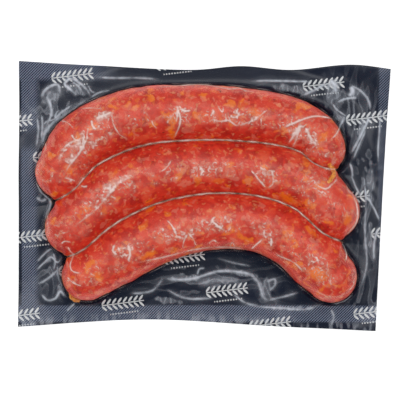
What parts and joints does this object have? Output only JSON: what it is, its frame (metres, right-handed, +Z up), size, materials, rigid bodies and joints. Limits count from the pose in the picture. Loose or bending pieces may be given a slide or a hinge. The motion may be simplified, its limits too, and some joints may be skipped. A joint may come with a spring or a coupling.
{
  "type": "vacuum pack of sausages",
  "caption": "Curved coarse-ground sausages side by side, sealed under clear shrunk film on a dark rectangular backing sheet with embossed seal edges.",
  "frame": {"origin": "middle of the pack's underside", "axes": "+X along the pack's long side, +Y across the sausages towards the pack's back edge, +Z up"},
  "size_m": [0.202, 0.1466, 0.0327],
  "materials": {
    "backing": "glossy laminated plastic sheet, dark navy with a small pale printed pattern and knurled seal edges",
    "sausage": "moist coarse-ground raw red meat in a thin natural casing, flecked with fat and pepper",
    "film": "clear glossy shrunk plastic film with fine wrinkles"
  },
  "bodies": {
    "root": {"backing_sheet": "backing", "sausage_back": "sausage", "sausage_middle": "sausage", "sausage_front": "sausage", "clear_film": "film"}
  },
  "joints": []
}
